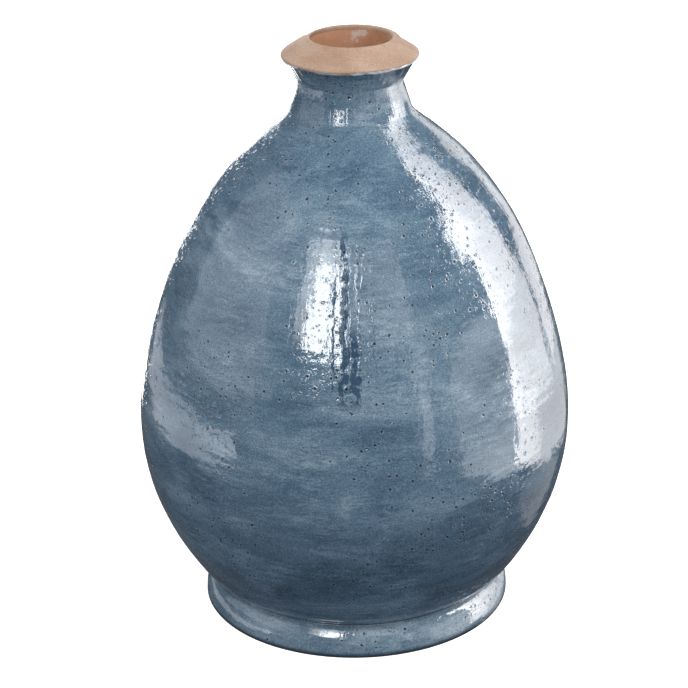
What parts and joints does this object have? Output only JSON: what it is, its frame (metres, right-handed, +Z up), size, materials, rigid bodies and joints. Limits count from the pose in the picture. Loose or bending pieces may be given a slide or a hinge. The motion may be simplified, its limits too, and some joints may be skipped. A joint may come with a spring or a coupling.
{
  "type": "flower vase",
  "caption": "Glazed terracotta bottle vase with a round belly, a narrow neck, a rolled bare-clay rim and a turned foot ring.",
  "frame": {"origin": "middle of the foot ring's resting face, on the table", "axes": "+Z up along the vase's axis, +X to the right and -Y towards the front"},
  "size_m": [0.2586, 0.2586, 0.3522],
  "materials": {
    "terracotta": "matt fired terracotta",
    "slip": "matt fired slip",
    "rim_clay": "matt fired terracotta, lighter at the rim",
    "blue_glaze": "glossy blue-grey glaze with pinholes",
    "clear_liner": "thin clear glaze over red clay"
  },
  "bodies": {
    "root": {"foot_ring": "terracotta", "foot_seam_slip": "slip", "lower_body": "terracotta", "belly_seam_slip": "slip", "upper_body": "terracotta", "neck_seam_slip": "slip", "neck_collar": "terracotta", "rim_seam_slip": "slip", "mouth_rim": "rim_clay", "foot_glaze": "blue_glaze", "body_glaze": "blue_glaze", "liner_glaze": "clear_liner"}
  },
  "joints": []
}
